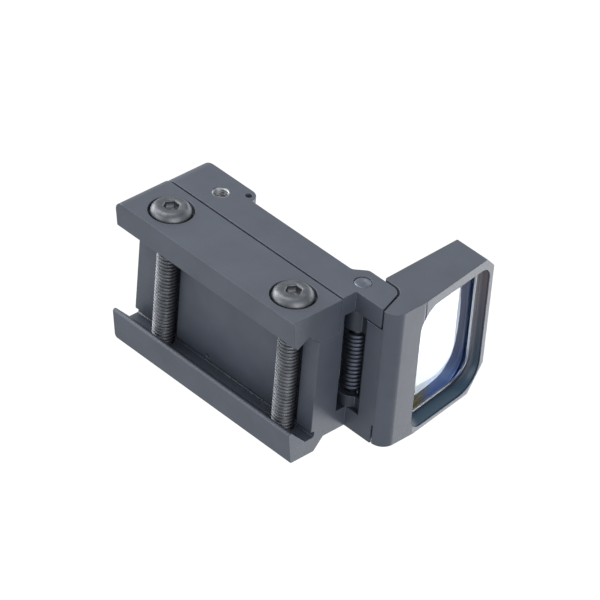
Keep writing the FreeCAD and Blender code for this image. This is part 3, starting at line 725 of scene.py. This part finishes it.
def make_tapped_hole():
    """Bare thread in the side of the rear block, outside the sunken windage screw."""
    low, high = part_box("windage_screw")
    centre = (low + high) / 2
    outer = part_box("clamp_plate")[1].x - TAPPED_MOUTH
    inner = outer - TAPPED_DEPTH + TAPPED_MOUTH
    sleeve = TAPPED_RADIUS + TAPPED_SLEEVE
    rings = turned("X", centre, [(outer, sleeve), (inner, sleeve)])
    rings += thread_rings("X", centre, inner, outer, TAPPED_RADIUS, ADJUSTER_PITCH)
    piece = loft("tapped_hole_thread", [rings], MATERIALS["bare_thread"], closed=True)
    finished(piece, body="housing")


def make_hinge_pin():
    """Pin with chamfered, slightly dished ends; end holds (depth in mm, share of the radius) pairs."""
    low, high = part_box("hinge_pin")
    radius = (high.z - low.z) / 2
    end = [(0.10, 0.1), (0.10, 0.45), (0.0, 0.68), (0.0, 0.84), (0.09, 0.95), (0.22, 1.0)]
    profile = [(low.x + depth * MM, share * radius) for depth, share in end]
    profile += [(high.x - depth * MM, share * radius) for depth, share in reversed(end)]
    piece = loft("hinge_pin_finished", [turned("X", (low + high) / 2, profile)], MATERIALS["pin_steel"])
    finished(piece, "hinge_pin")


def make_hinge_spring():
    """Close-wound torsion spring with one short leg and one long leg down into the housing."""
    low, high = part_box("hinge_spring")
    start = low.x + WIRE_RADIUS
    end = high.x - WIRE_RADIUS
    path = [Vector((start, HINGE.y + COIL_RADIUS, HINGE.z - drop)) for drop in SHORT_LEG]
    steps = round(COIL_TURNS * COIL_STEPS)
    for i in range(steps + 1):
        angle = 2 * math.pi * COIL_TURNS * i / steps
        x = start + (end - start) * i / steps
        y = HINGE.y + COIL_RADIUS * math.cos(angle)
        path.append(Vector((x, y, HINGE.z + COIL_RADIUS * math.sin(angle))))
    leg = HINGE.z - low.z
    for i in range(1, LEG_STEPS + 1):
        path.append(Vector((end, HINGE.y - COIL_RADIUS, HINGE.z - leg * i / LEG_STEPS)))
    piece = loft("hinge_spring_wound", [swept(path, WIRE_RADIUS, Y)], MATERIALS["dark_steel"])
    finished(piece, "hinge_spring")


def lens_bulge(x, height, middle):
    """How far the lens face falls back from its pole."""
    offset = math.hypot(x - middle.x, height - middle.y)
    return LENS_RADIUS - math.sqrt(LENS_RADIUS ** 2 - offset ** 2)


def make_lens():
    """Meniscus lens in fine rings, both faces curved."""
    outline = window_outline("lens")
    depths = [place.y for place in window_places("lens")]
    rear, front = min(depths), max(depths)
    across = [point.x for point in outline]
    heights = [point.y for point in outline]
    middle = Vector(((min(across) + max(across)) / 2, (min(heights) + max(heights)) / 2))
    shares = [POLE_SHARE] + [i / LENS_RINGS for i in range(1, LENS_RINGS + 1)]

    def face_ring(share, pole):
        points = []
        for point in outline:
            x, height = middle.lerp(point, share)
            depth = max(pole - lens_bulge(x, height, middle), rear)
            points.append(from_window(x, depth, height))
        return points

    rings = [face_ring(share, front) for share in shares]
    rings += [face_ring(share, front - LENS_THICKNESS) for share in reversed(shares)]
    finished(loft("lens_ground", [rings], MATERIALS["coated_glass"]), "lens")


def set_in(outline):
    """The outline with its far side moved towards the clamp side."""
    far = min(point.x for point in outline)
    moved = []
    for point in outline:
        share = max(0.0, 1 - (point.x - far) / FAR_SIDE_REACH)
        moved.append(point + Vector((FAR_SIDE_STEP * share, 0)))
    return moved


def at_depth(outline, depth):
    """An outline of the window at a depth, in the frame of the CAD model."""
    return [from_window(point.x, depth, point.y) for point in outline]


def make_lens_bezel():
    """Thin ring in front of the lens, with rounded corners to its section, and the wall before it."""
    outer = window_outline("lens_bezel")
    outline = set_in(outer)
    depths = [place.y for place in window_places("lens_bezel")]
    rear, front = min(depths), max(depths)
    mouth = front + WALL_DEPTH
    wall = [
        at_depth(inset_outline(outer, WALL_INSET), mouth), at_depth(outline, front),
        at_depth(outline, rear), at_depth(outer, rear), at_depth(outer, mouth)]
    liner = loft("window_liner", [wall], MATERIALS["window_painted_light"], closed=True)
    finished(liner, body="lens_frame")
    soft = BEZEL_ROUNDING
    near = 0.3 * soft
    section = [
        (0, rear), (0, front - soft), (near, front - near), (soft, front),
        (BEZEL_WIDTH - soft, front), (BEZEL_WIDTH - near, front - near),
        (BEZEL_WIDTH, front - soft), (BEZEL_WIDTH, rear)]
    rings = [at_depth(inset_outline(outline, inset), depth) for inset, depth in section]
    finished(loft("lens_bezel_turned", [rings], MATERIALS["bright_ring"], closed=True), "lens_bezel")


def make_buttons():
    """Rubber buttons with a rolled crown, a shallow dish and a raised plus or minus."""
    for node, marks in (("brightness_down_button", "X"), ("brightness_up_button", "XZ")):
        low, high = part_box(node)
        centre = (low + high) / 2
        flange = (high.z - low.z) / 2
        stem = flange - BUTTON_FLANGE
        crown = low.y + BUTTON_CROWN
        piece = loft(node + "_moulded", [turned("Y", centre, [
            (high.y, 0.1 * MM), (high.y, flange - 0.06 * MM), (high.y - 0.06 * MM, flange),
            (high.y - 0.36 * MM, flange), (high.y - 0.41 * MM, stem), (crown + 0.5 * MM, stem),
            (crown + 0.22 * MM, stem - 0.08 * MM), (crown + 0.07 * MM, stem - 0.24 * MM),
            (crown, stem - 0.55 * MM), (crown + 0.08 * MM, 0.8 * MM), (crown + 0.09 * MM, 0.1 * MM)])],
            MATERIALS["button_rubber"])
        finished(piece, node)
        near = Vector((centre.x, low.y + MARK_SINK, centre.z))
        far = Vector((centre.x, crown + MARK_RISE, centre.z))
        halves = {"X": Vector((MARK_LENGTH, 0, MARK_WIDTH)), "Z": Vector((MARK_WIDTH, 0, MARK_LENGTH))}
        bars = [(near - halves[direction], far + halves[direction]) for direction in marks]
        mark = rounded_blocks(node + "_mark", bars, MATERIALS["button_rubber"])
        finished(mark, body=BODY_OF[node])


def make_battery():
    """Coin cell: a can with a rolled edge, a seal groove and a raised lower cap. The groove is
    given in millimetres up from the lower face and in from the rim."""
    low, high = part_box("battery")
    centre = (low + high) / 2
    radius = (high.x - low.x) / 2
    groove = [
        (0.0, 1.7), (0.08, 1.45), (0.42, 1.3), (0.42, 0.85),
        (0.12, 0.6), (0.10, 0.35), (0.22, 0.1), (0.45, 0.0)]
    points = [(low.z, 0.1 * MM)]
    points += [(low.z + up * MM, radius - inwards * MM) for up, inwards in groove]
    points += [
        (high.z - 0.32 * MM, radius), (high.z - 0.1 * MM, radius - 0.1 * MM), (high.z, radius - 0.32 * MM),
        (high.z, 0.62 * radius), (high.z - 0.05 * MM, 0.60 * radius), (high.z - 0.05 * MM, 0.1 * MM)]
    finished(loft("battery_can", [turned("Z", centre, points)], MATERIALS["cell_steel"]), "battery")


def make_board_parts():
    """Small surface-mounted parts in two rows on the inner face of the board."""
    low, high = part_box("circuit_board")
    face = low.y + BOARD_THICKNESS
    middle = (low.x + high.x) / 2
    blocks = []
    for z in (low.z + BOARD_ROW_MARGIN, high.z - BOARD_ROW_MARGIN):
        for i in range(BOARD_PART_COUNT):
            x = low.x + (BOARD_PART_START + BOARD_PART_SPACING * i) * MM
            if z > low.z + BOARD_CLEAR_BELOW or abs(x - middle) > BOARD_CLEAR_HALF:
                foot = Vector((x, face - BOARD_PART_SINK, z))
                top = Vector((x, face + BOARD_PART_HEIGHT, z))
                blocks.append((foot - BOARD_PART_HALF, top + BOARD_PART_HALF))
    parts = rounded_blocks("board_parts", blocks, MATERIALS["black_plastic"])
    finished(parts, body="housing")


def make_tray_ribs():
    """Finger ribs in the grip recess of the battery tray's cap."""
    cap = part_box("battery_tray")[0].x
    cell_low, cell_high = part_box("battery")
    cell_y = (cell_low.y + cell_high.y) / 2
    blocks = []
    for i in range(RIB_COUNT):
        z = (RIB_START + RIB_SPACING * i) * MM
        near = Vector((cap + RIB_DEPTHS[0], cell_y - RIB_ENDS[0], z - RIB_HALF_WIDTH))
        far = Vector((cap + RIB_DEPTHS[1], cell_y - RIB_ENDS[1], z + RIB_HALF_WIDTH))
        blocks.append((near, far))
    ribs = rounded_blocks("tray_ribs", blocks, MATERIALS["black_plastic"])
    finished(ribs, body="battery_tray")


def in_hinge_recess(face):
    """Faces in the recess between the hinge ears, round the coil spring, which get painted shade."""
    place = face.calc_center_median() - HINGE
    return all(least < here < most for least, here, most in zip(RECESS_LOW, place, RECESS_HIGH))


def at_rear(face):
    """Faces at the housing's rear end, round and inside the opening for the rear cover."""
    return -face.normal.y > FACING and face.calc_center_median().y < REAR_END


def make_casings():
    """The housing and the other pieces that keep the CAD model's shape, with rounded edges; the housing's faces in
    the hinge recess get painted shade.
    """
    for node, width in BODY_EDGES.items():
        is_housing = node == "housing"
        # painted shade: the housing's faces in the hinge recess get a darker material
        painted_light_and_shade = [(in_hinge_recess, MATERIALS["recess"])] if is_housing else []
        rounded_copy(node, width, MATERIALS["edge_wear_and_highlight"], painted_light_and_shade, at_rear if is_housing else None)
    for node, width in SMALL_EDGES.items():
        rounded_copy(node, width)


def make_lens_frame():
    """Lens frame, with a smoother finish and painted light and shade on the wall of its window, and painted shade
    in the hinge recess.
    """
    outline = window_outline("lens")
    lowest = min(point.y for point in outline) - WINDOW_MARGIN
    left = min(point.x for point in outline) - WINDOW_MARGIN
    right = max(point.x for point in outline) + WINDOW_MARGIN

    def in_window(face):
        """Faces that run along the line of sight and look inwards."""
        place = to_window(face.calc_center_median())
        aim = LEAN.transposed() @ face.normal
        inside = left < place.x < right and place.y > 0 and place.z > lowest
        middle = Vector(((left + right) / 2, place.y, (lowest + place.z) / 2))
        return inside and abs(aim.y) < ACROSS and aim.dot(middle - place) > 0

    # painted light and shade on the window wall, painted shade in the hinge recess
    painted_light_and_shade = [(in_window, MATERIALS["window_painted_light"]), (in_hinge_recess, MATERIALS["recess"])]
    rounded_copy("lens_frame", LENS_FRAME_EDGE, MATERIALS["edge_wear_and_highlight"], painted_light_and_shade)


# Stage

def make_floor():
    """Pale floor, seen only from above, so that the sight can also be looked at from below."""
    material, tree = new_tree("floor")
    place = shader_node(tree, "TexCoord").outputs["Object"]
    tone = varied(tree, noise(tree, place, 6.0), 0.0, 1.0)
    colour = blend_colours(tree, tone, (0.78, 0.78, 0.77, 1), (0.81, 0.81, 0.80, 1))
    paint = shader_node(tree, "BsdfDiffuse", {"Color": colour})
    clear = shader_node(tree, "BsdfTransparent")
    below = shader_node(tree, "NewGeometry").outputs["Backfacing"]
    show(tree, shader_node(tree, "MixShader", {0: below, 1: paint.outputs[0], 2: clear.outputs[0]}))
    shape = bmesh.new()
    bmesh.ops.create_grid(shape, x_segments=8, y_segments=8, size=FLOOR_HALF)
    mesh = bpy.data.meshes.new("floor")
    shape.to_mesh(mesh)
    shape.free()
    floor = new_object("floor", mesh, material)
    floor.location = (0, 0, CAD_LOW.z)
    floor.visible_diffuse = False
    floor.visible_glossy = False
    floor.visible_shadow = False


def make_world():
    """White surroundings; what the camera sees is brighter and less blue than what lights the sight."""
    world = bpy.data.worlds.new("studio")
    bpy.context.scene.world = world
    world.use_nodes = True
    tree = world.node_tree
    tree.nodes.clear()
    path = shader_node(tree, "LightPath").outputs
    rays = {0: path["Is Camera Ray"], 1: path["Is Transmission Ray"]}
    seen = shader_node(tree, "Math", rays, operation="MAXIMUM").outputs[0]
    strength = spread(tree, seen, 0.0, 1.0, WORLD_LIGHT, WORLD_SEEN)
    colour = blend_colours(tree, seen, (0.92, 0.96, 1.0, 1), (1, 1, 1, 1))
    background = shader_node(tree, "Background", {"Color": colour, "Strength": strength})
    output = shader_node(tree, "OutputWorld")
    tree.links.new(background.outputs[0], output.inputs["Surface"])


def add_lamp(name, direction, distance, size, power):
    """Round lamp that looks at the sight; distance and size in metres, power in watts."""
    lamp = bpy.data.lights.new(name, "AREA")
    lamp.shape = "DISK"
    lamp.size = size
    lamp.energy = power
    made = bpy.data.objects.new(name, lamp)
    bpy.context.scene.collection.objects.link(made)
    made.location = CAMERA_AIM + direction.normalized() * distance
    made.rotation_euler = (-direction).to_track_quat("-Z", "Y").to_euler()


def camera_axes():
    """Right, up and backward directions of the camera."""
    ground = math.cos(CAMERA_ELEVATION)
    east = math.sin(CAMERA_AZIMUTH) * ground
    north = -math.cos(CAMERA_AZIMUTH) * ground
    backward = Vector((east, north, math.sin(CAMERA_ELEVATION)))
    right = (-backward).cross(Z).normalized()
    up = right.cross(-backward)
    roll = Matrix.Rotation(CAMERA_ROLL, 3, backward)
    return roll @ right, roll @ up, backward


def make_camera():
    """Long lens below and in front of the sight, rolled so that the clamp side faces up."""
    right, up, backward = camera_axes()
    camera = bpy.data.cameras.new("camera")
    camera.lens = CAMERA_LENS
    camera.sensor_width = CAMERA_SENSOR
    camera.clip_start = 0.01
    camera.clip_end = 50.0
    made = bpy.data.objects.new("camera", camera)
    bpy.context.scene.collection.objects.link(made)
    aimed = Matrix((right, up, backward)).transposed().to_4x4()
    made.matrix_world = Matrix.Translation(CAMERA_AIM + backward * CAMERA_DISTANCE) @ aimed
    bpy.context.scene.camera = made


def make_lamps():
    """Key lamp over the sight as the camera sees it, and five more round it."""
    right, up, backward = camera_axes()
    key = up + 0.35 * backward - 0.35 * right
    add_lamp("key", key, distance=0.6, size=0.45, power=1.5)
    add_lamp("low", 0.2 * X - 0.5 * Y - Z, distance=0.7, size=0.6, power=1.5)
    add_lamp("top", Z, distance=0.7, size=0.8, power=3.0)
    add_lamp("rim", 0.36 * Y - 0.6 * X + 0.72 * Z, distance=0.8, size=0.3, power=1.6)
    add_lamp("rear", 0.3 * X - Y - 0.2 * Z, distance=0.7, size=0.5, power=3.6)
    add_lamp("front", Y + 0.4 * X - 0.4 * Z, distance=0.7, size=0.6, power=2.2)


MATERIALS = make_materials()
make_camera()
make_world()
make_lamps()
make_floor()
make_casings()
make_lens_frame()
make_lens()
make_lens_bezel()
make_clamp_screws()
make_cover_screws()
make_adjusters()
make_tapped_hole()
make_hinge_pin()
make_hinge_spring()
make_buttons()
make_battery()
make_board_parts()
make_tray_ribs()

bpy.context.scene.view_settings.view_transform = "Standard"
